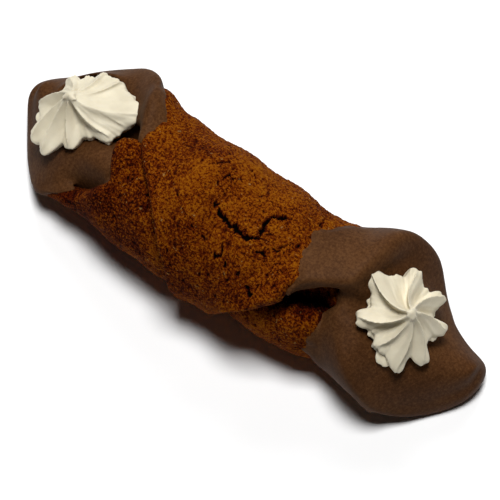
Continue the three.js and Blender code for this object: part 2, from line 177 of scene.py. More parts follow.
def middle_of_sheet(angle, along):
    """The middle of the dough's thickness. The back flap climbs over the front flap."""
    angle, along = np.broadcast_arrays(np.asarray(angle, float), np.asarray(along, float))
    opening = 1 + MOUTH_GAIN * smooth_step(np.abs(along), *MOUTH)
    turn = np.radians(angle) / opening
    back = (1 + np.sin(turn)) / 2
    wall = line_at(FRONT_WALL, along) * (1 - back) + line_at(BACK_WALL, along) * back
    rolled = np.radians(angle)
    # A roll made by hand is nowhere quite round: it wavers by some tenths of a millimetre.
    wobble = (
        0.3 * np.sin(along * 0.13 + 1.3) * np.cos(rolled * 2 + 0.6)
        + 0.2 * np.sin(along * 0.31 + 3 * rolled + 2.1)
        + 0.15 * np.cos(along * 0.47 - 4 * rolled)
    )
    pressed = bump_at(PRESSED_TIP, np.where(angle < 0, angle + 360, angle), along)
    pressed = pressed + sum(bump_at(dent, angle, along) for dent in DENTS + GAP_DENTS)
    radius = (wall - DOUGH / 2 + wobble + pressed) * opening
    climb = (DOUGH + LAP_AIR) * smooth_step(angle, *CLIMB) + bump_at(LIFTED_EDGE, angle, along)
    height = DOUGH / 2 - FLAT + radius - (radius + climb) * np.cos(turn)
    return np.stack((along, (radius + climb) * np.sin(turn), height), -1)


def outward_of_sheet(angle, along):
    """The direction out of the sheet's outer face, from places a little to each side on it."""
    round_it = middle_of_sheet(angle + 0.5, along) - middle_of_sheet(angle - 0.5, along)
    along_it = middle_of_sheet(angle, along + 0.3) - middle_of_sheet(angle, along - 0.3)
    out = np.cross(round_it, along_it)
    return out / np.linalg.norm(out, axis=-1, keepdims=True)


def dough_at(angle, along):
    """The back flap thins towards its tip and its left edge, where it was pressed down."""
    near_edge = 1 - smooth_step(along - line_at(LEFT_EDGE, angle), 0, 16)
    near_tip = smooth_step(angle, 230, BACK_TIP)
    return DOUGH * (1 - THINNED * np.maximum(near_edge, near_tip) * smooth_step(angle, 150, 200))


def lift_at(along):
    """Near its ends the roll's underside lifts clear of the tray by the coating's room."""
    return (COAT + CLEAR) * smooth_step(np.abs(along), *LIFT)


def wall_faces(angles, alongs, outward, inward):
    """The wall's outer and inner face, at these distances from its middle, and never below the tray."""
    middle = middle_of_sheet(angles, alongs)
    out = outward_of_sheet(angles, alongs)
    lift = np.stack((0 * alongs, 0 * alongs, lift_at(alongs)), -1)
    faces = middle + out * outward[..., None] + lift, middle - out * inward[..., None] + lift
    for face in faces:
        face[..., 2] = np.maximum(face[..., 2], 0)
    return faces


MM_PER_DEGREE = np.radians(WALL - DOUGH / 2)  # round the middle of the sheet


def fullness(distance, rounding, square=2):
    """How full the thickness is at a distance in from a rounded edge. A higher square is blunter."""
    return (1 - (1 - np.clip(distance / rounding, 0, 1)) ** square) ** (1 / square)


def sheet_ends(angle):
    """The two places along the roll where the sheet ends at this angle."""
    low = line_at(LEFT_EDGE, angle)
    high = line_at(RIGHT_EDGE, angle)
    from_tip = np.minimum(angle - FRONT_TIP, BACK_TIP - angle) * MM_PER_DEGREE
    half = (high - low) / 2 * (TIP_SHARE + (1 - TIP_SHARE) * fullness(from_tip, TIP_ROUND))
    return (low + high) / 2 - half, (low + high) / 2 + half


def rounded_steps(count, rim, share):
    """Even steps from 0 to 1, with rim more at each end that draw together where the edge rounds."""
    bend = share * (1 - np.cos(np.linspace(0, np.pi / 2, rim, endpoint=False)))
    return np.concatenate((bend, np.linspace(share, 1 - share, count), 1 - bend[::-1]))


def scattered(cells, seed):
    """An even random number for each cell of whole numbers, the same on each run. The large numbers
    only mix its bits."""
    mixed = np.full(cells.shape[:-1], seed * 7919 + 17, np.uint64)
    for axis in range(cells.shape[-1]):
        whole = cells[..., axis].astype(np.int64).astype(np.uint64)
        mixed = (mixed ^ (whole * np.uint64(0x9E3779B97F4A7C15))) * np.uint64(0xD6E8FEB86659FD93)
        mixed = mixed ^ (mixed >> np.uint64(32))
    return (mixed >> np.uint64(11)).astype(float) / 2.0**53


def waves(points, size, seed):
    """Smooth uneven waves between -1 and 1, size millimetres apart."""
    scaled = points / size
    base = np.floor(scaled)
    part = scaled - base
    fade = part**3 * (part * (part * 6 - 15) + 10)
    total = np.zeros(points.shape[:-1])
    for corner in product((0, 1), repeat=points.shape[-1]):
        weight = np.prod(np.where(corner, fade, 1 - fade), axis=-1)
        total += weight * scattered(base + corner, seed)
    return 2 * total - 1


def grains(points, size, seed):
    """The distance to the nearest grain, in grain sizes, and that grain's own number."""
    scaled = points / size
    base = np.floor(scaled)
    nearest = np.full(points.shape[:-1], 9.0)
    number = np.zeros(points.shape[:-1])
    for step in product((-1, 0, 1), repeat=points.shape[-1]):
        cell = base + step
        centre = cell + np.stack([scattered(cell, seed + 1 + axis) for axis in range(len(step))], -1)
        gap = np.linalg.norm(scaled - centre, axis=-1)
        closer = gap < nearest
        number = np.where(closer, scattered(cell, seed), number)
        nearest = np.where(closer, gap, nearest)
    return nearest, number


# The cracks of the crust, each as its width, its depth and its path of (angle, distance along). The
# first two are the deep ones across the back flap, and the rest are splits and hairlines.
CRACKS = [
    (
        0.8,
        1.6,
        [(191, -4.8), (194.5, -4.1), (193.5, -1.6), (196, 1), (197, 2.6), (197, 4), (195, 5), (192, 6.6)],
    ),
    (0.55, 1.4, [(196, 5), (192, 6.3), (187, 5.9), (181, 5.9), (176, 6.2), (173, 8), (168, 10.2)]),
    (0.5, 0.8, [(204, 1), (208, 1), (211, 2), (213.5, 2), (215, 0)]),
    (0.34, 0.6, [(210, -8.2), (209, -7), (208, -6)]),
    (0.32, 0.6, [(211, -5.2), (210, -2.5)]),
    (0.6, 0.7, [(214, 3.3), (216.5, 4.2)]),
    (0.36, 0.7, [(201, 7), (199, 8.2), (200, 10.2), (203, 10.4)]),
    (0.34, 0.6, [(193, 10.2), (191, 11.5), (185, 12), (180, 13)]),
    (0.32, 0.6, [(182, -8.8), (178, -8.5), (170, -7.5), (168, -5.5), (166, -3.8)]),
    (0.3, 0.5, [(173, -12.5), (168, -11), (164, -9.6), (165, -8)]),
    (0.45, 0.6, [(155, -4.7), (158, -4.2)]),
    (0.4, 0.5, [(158, -3.5), (160, -2.7)]),
    (0.4, 0.5, [(171, 0.8), (167, 0.8)]),
    (0.3, 0.5, [(187, -6.3), (190, -5.6), (189, -4.4)]),
    (0.36, 0.5, [(150, 13.5), (154, 14.6), (160, 14.6)]),
    (0.8, 0.8, [(221, 9.8), (224, 12.8)]),
]


def cracks_at(sheet):
    """How deep the cracks are at places on the sheet, given in millimetres round and along it."""
    depths = np.zeros(sheet.shape[:-1])
    jagged = sheet + 0.3 * np.stack((waves(sheet, 1.3, 61), waves(sheet, 1.3, 62)), -1)
    jagged = jagged + 0.16 * np.stack((waves(sheet, 0.6, 64), waves(sheet, 0.6, 65)), -1)
    for width, depth, path in CRACKS:
        corners = np.array(path) * (MM_PER_DEGREE, 1)
        runs = np.cumsum([0] + list(np.linalg.norm(np.diff(corners, axis=0), axis=1)))
        for k in range(len(path) - 1):
            start, step = corners[k], corners[k + 1] - corners[k]
            t = np.clip((jagged - start) @ step / (step @ step), 0, 1)
            away = np.linalg.norm(jagged - start - t[..., None] * step, axis=-1)
            run = (runs[k] + t * (runs[k + 1] - runs[k])) / runs[-1]
            taper = (4 * run * (1 - run) + 0.05) ** 0.4
            wide = width * taper * (0.8 + 0.3 * waves(sheet, 1.1, 63))
            depths = np.maximum(depths, depth * taper * np.clip(1.25 - 2 * away / wide, 0, 1) ** 0.7)
    return depths


LUMPS_APART = 1.4
GRAIN_APART = 0.62
PITS_APART = 1.9
PIT_WIDTH = 0.34
PIT_DEPTH = 0.4


def crumb_at(sheet):
    """The baked crumb over the even sheet: its swells, and its lumps, grain and small pits."""
    bent = sheet + 0.35 * np.stack((waves(sheet, LUMPS_APART, 1), waves(sheet, LUMPS_APART, 2)), -1)
    swells = 0.15 * waves(sheet, 8.5, 3) + 0.14 * waves(sheet, 3.7, 4)
    near, number = grains(bent, LUMPS_APART, 10)
    lumps = (0.03 + 0.17 * number) * (1 - 1.6 * near**2)
    near, number = grains(bent, GRAIN_APART, 20)
    grain = (0.05 + 0.15 * number) * (1 - 1.6 * near**2)
    near, number = grains(bent, PITS_APART, 30)
    deep_enough = smooth_step(number, 0.62, 1)  # only the higher numbers make a pit
    pits = PIT_DEPTH * deep_enough * np.exp(-((near * PITS_APART / PIT_WIDTH) ** 2))
    return swells, lumps + grain - pits - 0.1


def grid_mesh(name, outer, inner, step):
    """A closed mesh of an outer and an inner grid of points that meet at their borders. The inner one
    keeps only every step-th row and column."""
    rows, columns = outer.shape[:2]
    ids = np.arange(rows * columns).reshape(rows, columns)
    faces = np.stack((ids[:-1, :-1], ids[1:, :-1], ids[1:, 1:], ids[:-1, 1:]), -1).reshape(-1, 4).tolist()
    kept = np.full((rows, columns), -1)
    kept[[0, -1], :] = ids[[0, -1], :]
    kept[:, [0, -1]] = ids[:, [0, -1]]
    inside = np.zeros((rows, columns), bool)
    inside[step:-1:step, step:-1:step] = True
    kept[inside] = rows * columns + np.arange(inside.sum())
    for r in range(0, rows - 1, step):
        for c in range(0, columns - 1, step):
            loop = np.concatenate(
                (
                    kept[r, c : c + step],
                    kept[r : r + step, c + step],
                    kept[r + step, c + step : c : -1],
                    kept[r + step : r : -1, c],
                )
            )
            faces.append([int(corner) for corner in loop if corner >= 0])
    points = np.concatenate((outer.reshape(-1, 3), inner[inside]))
    mesh = bpy.data.meshes.new(name)
    mesh.from_pydata(((points + ROLL_AT) * MM).tolist(), [], faces)
    mesh.shade_smooth()
    return mesh


def add_piece(name, mesh, material, slot, *nodes):
    """Adds a piece that rides on the part's one body and stands for some of its solids."""
    mesh.materials.clear()
    mesh.materials.append(material)
    piece = bpy.data.objects.new(name, mesh)
    bpy.context.collection.objects.link(piece)
    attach(piece, "root")
    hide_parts(*nodes)
    return piece


def colour(code):
    """A hex colour as the linear values that a shader takes."""
    parts = np.array([int(code[i : i + 2], 16) / 255 for i in (1, 3, 5)])
    linear = np.where(parts <= 0.04045, parts / 12.92, ((parts + 0.055) / 1.055) ** 2.4)
    return (*linear.tolist(), 1)


def node(tree, kind, settings=None, **inputs):
    """Adds a shader node with its settings, and sets or links its inputs by name, or by number as _0."""
    made = tree.nodes.new("ShaderNode" + kind)
    for key, value in (settings or {}).items():
        setattr(made, key, value)
    for key, value in inputs.items():
        socket = made.inputs[int(key[1:])] if key[1:].isdigit() else made.inputs[key.replace("_", " ")]
        if isinstance(value, bpy.types.NodeSocket):
            tree.links.new(value, socket)
        else:
            socket.default_value = value
    return made


def new_material(name, **shader):
    """A material with one principled shader, set by name."""
    material = bpy.data.materials.new(name)
    material.use_nodes = True
    tree = material.node_tree
    tree.nodes.clear()
    surface = node(tree, "BsdfPrincipled", **shader)
    node(tree, "OutputMaterial", Surface=surface.outputs["BSDF"])
    return material, tree, surface


def ramp(tree, factor, stops):
    """Turns a number into a colour through stops of (place, hex colour)."""
    made = node(tree, "ValToRGB", Fac=factor)
    band = made.color_ramp
    while len(band.elements) < len(stops):
        band.elements.new(0.5)
    for element, (place, code) in zip(band.elements, stops):
        element.position = place
        element.color = colour(code)
    return made.outputs["Color"]


def baked_crust():
    """Almond biscuit, baked brown: dull and rough, and darker where it browned more. It is also darker
    where it lies low: partly the crumb's own uneven tone, and partly painted shade in its pits, cracks and
    dented gaps. It browned in patches some 9 mm wide, and every crumb of half a millimetre differently."""
    material, tree, surface = new_material(
        "baked_almond_crust", Roughness=0.95, IOR=1.45, Specular_IOR_Level=0.04
    )
    place = node(tree, "TexCoord").outputs["Object"]
    patches = node(tree, "TexNoise", Vector=place, Scale=1 / (9 * MM), Detail=3.0, Roughness=0.6)
    mottle = node(tree, "TexNoise", Vector=place, Scale=1 / (0.55 * MM), Detail=4.0, Roughness=0.85)
    browning = node(
        tree,
        "Math",
        {"operation": "MULTIPLY_ADD"},
        _0=patches.outputs["Fac"],
        _1=0.3,
        _2=node(tree, "Math", {"operation": "MULTIPLY"}, _0=mottle.outputs["Fac"], _1=1.2).outputs[0],
    )
    # It is darker towards the left end, and paler towards the back: the paler back is painted light, on
    # the side that faces the lamps.
    apart = node(tree, "SeparateXYZ", Vector=place)
    for axis, low, high, paler_from, paler_to in (
        ("X", -42, -4, -0.06, 0),
        ("Y", -16, 16, -0.004, 0.035),
    ):
        left_tone_and_back_light = node(
            tree,
            "MapRange",
            Value=apart.outputs[axis],
            From_Min=low * MM,
            From_Max=high * MM,
            To_Min=paler_from,
            To_Max=paler_to,
        ).outputs["Result"]
        browning = node(tree, "Math", {"operation": "ADD"}, _0=browning.outputs[0], _1=left_tone_and_back_light)
    crust = ramp(
        tree,
        browning.outputs[0],
        [(0.62, "#190300"), (0.69, "#481600"), (0.76, "#692b02"), (0.84, "#885108")],
    )
    # The height attribute darkens low crust: partly the crumb's own uneven tone, and partly painted shade
    # in its pits, cracks and dented gaps.
    height = node(tree, "Attribute", {"attribute_name": "height"}).outputs["Fac"]
    depth = ramp(tree, height, [(0.1, "#140400"), (0.36, "#a07050"), (0.5, "#e8d8c8"), (0.75, "#ffffff")])
    shaded = node(
        tree, "MixRGB", {"blend_type": "MULTIPLY"}, Fac=1.0, Color1=crust, Color2=depth
    ).outputs["Color"]
    # Pale flecks of chopped almond, 1.3 mm apart, show in places.
    flecks = node(tree, "TexNoise", Vector=place, Scale=1 / (1.3 * MM), Detail=2.0, Roughness=0.6)
    pale = node(
        tree,
        "MapRange",
        Value=flecks.outputs["Fac"],
        From_Min=0.69,
        From_Max=0.74,
        To_Max=0.8,
    ).outputs["Result"]
    almond = node(tree, "MixRGB", Fac=pale, Color1=shaded, Color2=colour("#8c6a3c"))
    tree.links.new(almond.outputs["Color"], surface.inputs["Base Color"])
    # Flour and sugar grit is nearer 0.1 mm: it is drawn at 0.35 mm, so that it shows.
    fine = node(tree, "TexNoise", Vector=place, Scale=1 / (0.35 * MM), Detail=4.0, Roughness=0.7)
    bump = node(tree, "Bump", Strength=0.7, Distance=0.25 * MM, Height=fine.outputs["Fac"])
    tree.links.new(bump.outputs["Normal"], surface.inputs["Normal"])
    return material


ROWS = 361  # round the sheet
COLUMNS = 209  # along it
EDGE_STEPS = 8  # the rows or columns that round off each edge
EDGE_SHARE = 0.06  # the share of the sheet's length that they take at each end
COARSE = 4  # the sheet's hidden inner face keeps one row and column in this many
FINE = 2000  # steps fine enough to even out the rows

# Rows lie closer together where the crust shows, and wider apart underneath and under the flap, as
# (angle, how close).
dense = np.array([(-198, 0.4), (-165, 1), (-50, 1), (-35, 0.35), (40, 0.35), (60, 1), (288, 1)])
fine_angles = np.linspace(FRONT_TIP, BACK_TIP, FINE)
packed = np.cumsum(np.interp(fine_angles, dense[:, 0], dense[:, 1]))
evened = np.interp(np.linspace(packed[0], packed[-1], FINE), packed, fine_angles)
tip_share = EDGE_ROUND / ((BACK_TIP - FRONT_TIP) * MM_PER_DEGREE)
steps = rounded_steps(ROWS - 2 * EDGE_STEPS, EDGE_STEPS, tip_share)
angles = np.interp(steps, np.linspace(0, 1, FINE), evened)[:, None]
low_end, high_end = sheet_ends(angles)
across = rounded_steps(COLUMNS - 2 * EDGE_STEPS, EDGE_STEPS, EDGE_SHARE)[None, :]
alongs = low_end + (high_end - low_end) * across

sheet = np.stack((np.broadcast_to(angles * MM_PER_DEGREE, alongs.shape), alongs), -1)
from_tip = np.minimum(angles - FRONT_TIP, BACK_TIP - angles) * MM_PER_DEGREE
from_edge = np.minimum(alongs - low_end, high_end - alongs)
blunt = EDGE_ROUND - 1.8 * smooth_step(angles, 185, 202)  # the top flap's edge is nearly square
full = fullness(from_tip, EDGE_ROUND) * fullness(from_edge, blunt)
cracks = cracks_at(sheet)
swells, crumb = crumb_at(sheet)
half = dough_at(angles, alongs) / 2 * full
relief = (swells + crumb - cracks) * np.clip(full * 1.6, 0, 1)  # it fades out over the rounded edges
biscuit_mesh = grid_mesh("biscuit_crust", *wall_faces(angles, alongs, half + relief, half), COARSE)

# The crust's colour follows how high it lies, from 0 to 1. Its low crumb is darker, partly from its own
# uneven tone and partly as painted shade. Its cracks, pits and dented gaps are painted shade.
# Painted shade: the crust darkens in the gap under the back flap's lifted edge and in the crease at the
# left end.
gap_shade = -sum(bump_at(dent, angles, alongs) for dent in GAP_DENTS)
height = np.clip(0.5 + 1.3 * crumb - cracks * 1.2 - 0.25 * gap_shade, 0, 1).ravel()
hidden = np.full(len(biscuit_mesh.vertices) - len(height), 0.6)  # the inner face is even
heights = biscuit_mesh.attributes.new("height", "FLOAT", "POINT")
heights.data.foreach_set("value", np.concatenate((height, hidden)).astype(np.float32))
add_piece("biscuit_crust", biscuit_mesh, baked_crust(), "biscuit", "biscuit_roll")

# ---------------------------------------------------------------- the chocolate coating
# Each end of the baked roll was dipped in melted chocolate, which covers the wall in a thin skin, runs
# over the rim and fills the mouth round the cream. It set smooth and dull, with a ragged edge.

# Where the coating stops on each end, as (angle, distance along the roll).
RIGHT_DIP = np.array(
    [
        (-180, 27.6), (-165, 27.6), (-154, 27), (-143, 25.8), (-130, 24), (-94, 23.2), (-81, 25),
        (0, 32), (70, 22), (110, 22), (136, 20.2), (153, 17), (167, 13), (180, 14.5), (197, 16),
        (210, 18.5), (262, 22),
    ]
)
LEFT_DIP = np.array(
    [
        (-180, -34), (-104, -38.5), (-90, -42), (-74, -44.5), (0, -44), (70, -37), (120, -34),
        (138, -31.5), (151, -28), (168, -26.3), (174, -26.6), (180, -28.6), (262, -28),
    ]
)
RIGHT_COAT = (-176, 212)  # the angles that the coating covers
LEFT_COAT = (-98, 180)

# How far the chocolate runs on past the rim of the dough, as (angle, distance).
RIGHT_OVER = np.array(
    [(-176, 0), (28, 0), (45, 0.6), (51, 3.6), (56, 4.6), (62, 2.8), (75, 1.4), (100, 0.3), (212, 0)]
)
LEFT_OVER = np.array(
    [
        (-98, 0), (-60, 0), (0, 1.7), (22, 2.6), (45, 3), (60, 2.8), (75, 2.8), (90, 2.8),
        (105, 1.8), (120, 0.4), (186, 0),
    ]
)
COAT_ROWS = 280  # round the roll
COAT_COLUMNS = 70  # along it
RIM_ROUND = 3  # how far in from the rim the coating starts to round off
FEATHER = 1.8  # how far in from its ragged edge the coating thins out
SINK = 0.45  # how far it sinks into the dough there
THICKENS = 4.5  # how far in from that edge it has its full thickness
LINING = (27, 35)  # from where along the roll, and up to where, the mouth's lining thickens
PUDDLE = {"amount": 0.9, "angle": 136, "along": -37, "round": 13, "wide": 6}  # fills a dip in the dough

# The chocolate in each mouth is a bed through cross-sections at stations along the roll. It is raised
# at its inner end, from an outer to an inner distance along the roll, behind a place across it. The left
# bed's front edge is tucked behind a bare lip of dough, as (distance along, degrees), and it has a pit
# under the star and a swell before it, as (depth, distance along, place across, width).
BED_DROP = 0.6  # how deep the chocolate lies under a star's widest part
BED_STEPS = 40  # across a bed
BARE_TUCK = 16  # the tuck, in degrees, at which the lip is bare all through
LOW_ANGLE = 10  # near the bottom line, where both rims reach out furthest
SLOPE_DEPTH = 3.6  # thick enough for a slope to reach down into the bed and the coating
RIGHT_STATIONS = (27, 30, 33, 37, 41, 45, 49, 54, 58, 60)
LEFT_STATIONS = (-27, -29, -31, -33, -35, -37, -38.5, -40, -41.5, -43, -45, -48, -51, -54, -58, -62, -64.2)
RIGHT_RAISED = {"amount": 1, "inner": 28, "outer": 33, "across": -5}
LEFT_RAISED = {"amount": 7.5, "inner": 28, "outer": 35.5, "across": 2}
LEFT_TUCK = np.array([(-65, 0), (-46, 0), (-43.5, 5), (-41, 14), (-38, 18), (-27, 20)])
LEFT_DENTS = [(10, -34, 3.4, 3.2), (-4.5, -38, -9, 6)]

# The cream stars stand on the chocolate, which slopes by bed_tilt degrees under them. A star leans by
# its own tilt towards the same heading, its tip lies off its middle by lean, and its crests turn by
# swirl from rim to tip. Each crest has its heading, its reach, how far the groove after it cuts in at
# the rim and how deep that groove is above. The blunt lobes of a lower layer peek out from under them.
RIGHT_STAR = {
    "centre": (41.8, 3.1, 23),
    "bed_tilt": 28,
    "tilt": 33,
    "heading": -15,
    "lean": (-3.6, 0),
    "swirl": 34,
    "crests": [
        (22, 10.3, 0.36, 1),
        (66, 10.5, 0.26, 1),
        (118, 10.9, 0.2, 1.1),
        (172, 13.6, 0.26, 1.1),
        (219, 12.1, 0.22, 1.1),
        (262, 9.6, 0.1, 0.6),
        (299, 12.2, 0.26, 0.9),
        (333, 11.4, 0.3, 1),
    ],
    "under": [
        (8, 9, 0.2, 1),
        (60, 9, 0.2, 1),
        (112, 10, 0.2, 1),
        (178, 13.2, 0.2, 1),
        (232, 10, 0.1, 1),
        (281, 12.3, 0.2, 1),
    ],
}
LEFT_STAR = {
    "centre": (-47.9, 3.9, 20),
    "bed_tilt": 24,
    "tilt": 24,
    "heading": 201,
    "lean": (1.3, -1),
    "swirl": -26,
    "crests": [
        (16, 15.6, 0.08, 0.5),
        (60, 10.4, 0.04, 0.4),
        (92, 9.4, 0.2, 0.8),
        (150, 9.6, 0.3, 0.7),
        (197, 12.6, 0.14, 0.9),
        (236, 14.6, 0.06, 0.6),
        (258, 14.2, 0.2, 1),
        (286, 10.2, 0.24, 1.2),
        (342, 12.4, 0.06, 0.3),
    ],
    "under": [
        (30, 13.5, 0.1, 1),
        (70, 10, 0.1, 1),
        (128, 9, 0.1, 1),
        (215, 13, 0.1, 1),
        (270, 10, 0.1, 1),
        (325, 7.5, 0.1, 1),
    ],
}


def coat_grid(name, covered, side):
    """The dough's end as it lies in its coating, from the dip line to the rim, as one closed mesh."""
    angles = np.linspace(*covered, COAT_ROWS)[:, None]
    low, high = sheet_ends(angles)
    over = line_at(RIGHT_OVER if side > 0 else LEFT_OVER, angles) + COAT
    sheet_at = np.stack((angles[:, 0] * MM_PER_DEGREE, 0 * angles[:, 0]), -1)
    ragged = 0.7 * waves(sheet_at, 2.8, 71 + side) + 0.55 * waves(sheet_at, 1.2, 81 + side)
    ragged = ragged + 0.4 * waves(sheet_at, 0.65, 91 + side)
    dip = line_at(RIGHT_DIP if side > 0 else LEFT_DIP, angles) + ragged[:, None]
    if side > 0:
        low, high = np.minimum(dip, high - 0.5), high + over
    else:
        low, high = low - over, np.maximum(dip, low + 0.5)
    alongs = low + (high - low) * rounded_steps(COAT_COLUMNS, 6, EDGE_SHARE)[None, :]
    from_tip = np.minimum(angles - covered[0], covered[1] - angles) * MM_PER_DEGREE
    from_rim = high - alongs if side > 0 else alongs - low
    from_dip = alongs - low if side > 0 else high - alongs
    full = fullness(from_tip, 3) * fullness(from_rim, RIM_ROUND, 3.5)
    skin = COAT * smooth_step(from_dip, 0, THICKENS) - SINK * (1 - smooth_step(from_dip, 0, FEATHER))
    if side < 0:
        skin = skin + bump_at(PUDDLE, angles, alongs) * smooth_step(from_dip, 0, 6)
    half = dough_at(angles, alongs) / 2
    lining = COAT * smooth_step(np.abs(alongs), *LINING)
    closing = np.clip(from_dip / 0.4, 0, 1)
    outward = (half + skin) * full * closing
    inward = (half + lining) * full * closing
    return grid_mesh(name, *wall_faces(angles, alongs, outward, inward), 1)


def rim_angle(rim, start, end, along):
    """The angle at which a rim comes to this place along the roll."""
    low, high = start, end
    for _ in range(30):
        mid = (low + high) / 2
        if abs(float(line_at(rim, mid))) > abs(along):
            high = mid
        else:
            low = mid
    return (low + high) / 2


def tube_mesh(name, rings):
    """A closed tube through rings of points."""
    count, around = rings.shape[:2]
    ids = np.arange(count * around).reshape(count, around)
    after = np.roll(ids, -1, axis=1)
    faces = np.stack((ids[:-1], after[:-1], after[1:], ids[1:]), -1).reshape(-1, 4).tolist()
    faces += [ids[0, ::-1].tolist(), ids[-1].tolist()]
    mesh = bpy.data.meshes.new(name)
    mesh.from_pydata(((rings.reshape(-1, 3) + ROLL_AT) * MM).tolist(), [], faces)
    return mesh


def bed_height(star, along, across):
    """The height of the even plane that a star stands on."""
    tilt, heading = np.radians(star["bed_tilt"]), np.radians(star["heading"])
    away = (along - star["centre"][0]) * np.cos(heading) + (across - star["centre"][1]) * np.sin(heading)
    return star["centre"][2] - np.tan(tilt) * away


def rim_point(angle, along, lean):
    """A point on the rim: the middle of the dough at lean 0, the coating's face at 1, its lining at -1."""
    side = DOUGH / 2 + COAT * max(lean, 0)
    place = middle_of_sheet(angle, along) + outward_of_sheet(angle, along) * side * lean
    return place + (0, 0, lift_at(along))


def fill_rings(star, rim, stations, raised, tuck=None, dents=()):
    """The chocolate that fills a mouth: a bed under the star that runs up to both rims, or at the front
    to behind a bare lip of dough."""
    side = np.sign(stations[0])
    rings = []
    for along in stations:
        tucked = 0 if tuck is None else float(line_at(tuck, along))
        bare = np.clip(tucked / BARE_TUCK, 0, 1)
        front = rim_angle(rim, -175, LOW_ANGLE, along) + tucked
        back = rim_angle(rim, 150, LOW_ANGLE, along)
        wall = middle_of_sheet(np.linspace(front, back, BED_STEPS), along)
        wall[:, 2] += lift_at(along)
        near = rim_point(front, along, 0.8 - 1.7 * bare) - (0, 0, 5 * bare)
        far = rim_point(back, along, 0.7)
        t = np.linspace(1, 0, BED_STEPS)[:, None]
        top = near + (far - near) * t
        bed = bed_height(star, along, top[:, 1]) - BED_DROP
        inside = smooth_step(side * along, raised["outer"], raised["inner"])
        behind = smooth_step(top[:, 1], raised["across"], raised["across"] + 6)
        bed += raised["amount"] * inside * behind
        for depth, dent_along, dent_across, wide in dents:
            away = np.hypot(along - dent_along, top[:, 1] - dent_across) / wide
            bed -= depth * np.exp(-(away**2))
        # It curves up to both rims, or drops to them only close by.
        t = t[:, 0]
        near_rise, far_rise = near[2] - bed[-1], far[2] - bed[0]
        top[:, 2] = bed + near_rise * (1 - t) ** (1.6 if near_rise > 0 else 5 + 7 * bare)
        top[:, 2] += far_rise * t ** (2.5 if far_rise > 0 else 3)
        ring = np.concatenate((wall, top))
        rings.append(ring if side > 0 else ring[::-1])
    return np.array(rings)


def slope_rings(star, rim, covered, foot, bulge):
    """Chocolate that ran down from a rim, over the angles given, to its foot so far from the star's
    middle, and set as a rounded slope."""
    side = np.sign(star["centre"][0])
    middle = np.array(star["centre"][:2])
    rings = []
    for angle in np.linspace(*covered, 40):
        top = rim_point(angle, float(line_at(rim, angle)) - side, 1)
        away = top[:2] - middle
        reach = np.linalg.norm(away)
        low = middle + away / reach * min(foot, reach - 1)
        low = np.array((*low, bed_height(star, *low) - BED_DROP))
        t = np.linspace(0, 1, 9)[:, None]
        rounding = bulge * np.sin(np.pi * t) * (*(-away / reach), 1)
        slope = top + (low - top) * t + rounding
        ring = np.concatenate((slope, slope[::-1] - (0, 0, SLOPE_DEPTH)))
        ring[:, 2] = np.maximum(ring[:, 2], COAT)
        rings.append(ring)
    return np.array(rings) if side > 0 else np.array(rings)[:, ::-1]


def joined(name, meshes):
    """One mesh of several, which are then dropped."""
    points = []
    faces = []
    for mesh in meshes:
        first = len(points)
        points += [vertex.co[:] for vertex in mesh.vertices]
        faces += [[first + corner for corner in face.vertices] for face in mesh.polygons]
        bpy.data.meshes.remove(mesh)
    whole = bpy.data.meshes.new(name)
    whole.from_pydata(points, [], faces)
    whole.shade_smooth()
    return whole


def melted(name, meshes, voxel):
    """Melts closed meshes into one skin, as a voxel mesh."""
    soft = bpy.data.objects.new(name, joined(name, meshes))
    bpy.context.collection.objects.link(soft)
    remesh = soft.modifiers.new("remesh", "REMESH")
    remesh.mode = "VOXEL"
    remesh.voxel_size = voxel * MM
    settled = soft.evaluated_get(bpy.context.evaluated_depsgraph_get())
    mesh = bpy.data.meshes.new_from_object(settled)
    bpy.data.objects.remove(soft)
    mesh.shade_smooth()
    return mesh


def levelled(mesh, rounds, middle=(0, 0), near=0, far=0, least=1.0):
    """Smooths a skin, as soft stuff levels before it sets: in each round a point moves half way to the
    mean of its neighbours within near of a middle, and only least of that beyond far."""
    points = np.empty(len(mesh.vertices) * 3)
    mesh.vertices.foreach_get("co", points)
    points = points.reshape(-1, 3)
    ends = np.empty(len(mesh.edges) * 2, int)
    mesh.edges.foreach_get("vertices", ends)
    ends = np.concatenate((ends.reshape(-1, 2), ends.reshape(-1, 2)[:, ::-1]))
    count = np.bincount(ends[:, 0], minlength=len(points))[:, None]
    away = np.linalg.norm(points[:, :2] / MM - ROLL_AT[:2] - middle, axis=1)[:, None]
    give = 0.5 * (1 - (1 - least) * smooth_step(away, near, far)) if far else 0.5
    for _ in range(rounds):
        total = [np.bincount(ends[:, 0], points[ends[:, 1], k], len(points)) for k in range(3)]
        points += (np.stack(total, -1) / count - points) * give
    mesh.vertices.foreach_set("co", points.ravel())
    mesh.update()
    return mesh


def set_chocolate():
    """Milk chocolate coating that set in the air: satin, close to dull, and clouded by a little bloom.
    The bloom's specks are nearer 0.1 mm: they are drawn at 0.7 mm, so that they show."""
    material, tree, surface = new_material(
        "set_chocolate_coating", Roughness=0.6, IOR=1.46, Specular_IOR_Level=0.05
    )
    place = node(tree, "TexCoord").outputs["Object"]
    cloud = node(tree, "TexNoise", Vector=place, Scale=1 / (14 * MM), Detail=3.0, Roughness=0.5)
    speck = node(tree, "TexNoise", Vector=place, Scale=1 / (0.7 * MM), Detail=4.0, Roughness=0.8)
    mixed = node(
        tree,
        "Math",
        {"operation": "MULTIPLY_ADD"},
        _0=speck.outputs["Fac"],
        _1=1.0,
        _2=node(tree, "Math", {"operation": "MULTIPLY"}, _0=cloud.outputs["Fac"], _1=0.5).outputs[0],
    )
    brown = ramp(tree, mixed.outputs[0], [(0.6, "#3c230f"), (0.75, "#492d17"), (0.9, "#58391f")])
    tree.links.new(brown, surface.inputs["Base Color"])
    bump = node(tree, "Bump", Strength=0.25, Distance=0.1 * MM, Height=speck.outputs["Fac"])
    tree.links.new(bump.outputs["Normal"], surface.inputs["Normal"])
    return material


chocolate = set_chocolate()
SKIN_VOXEL = 0.38

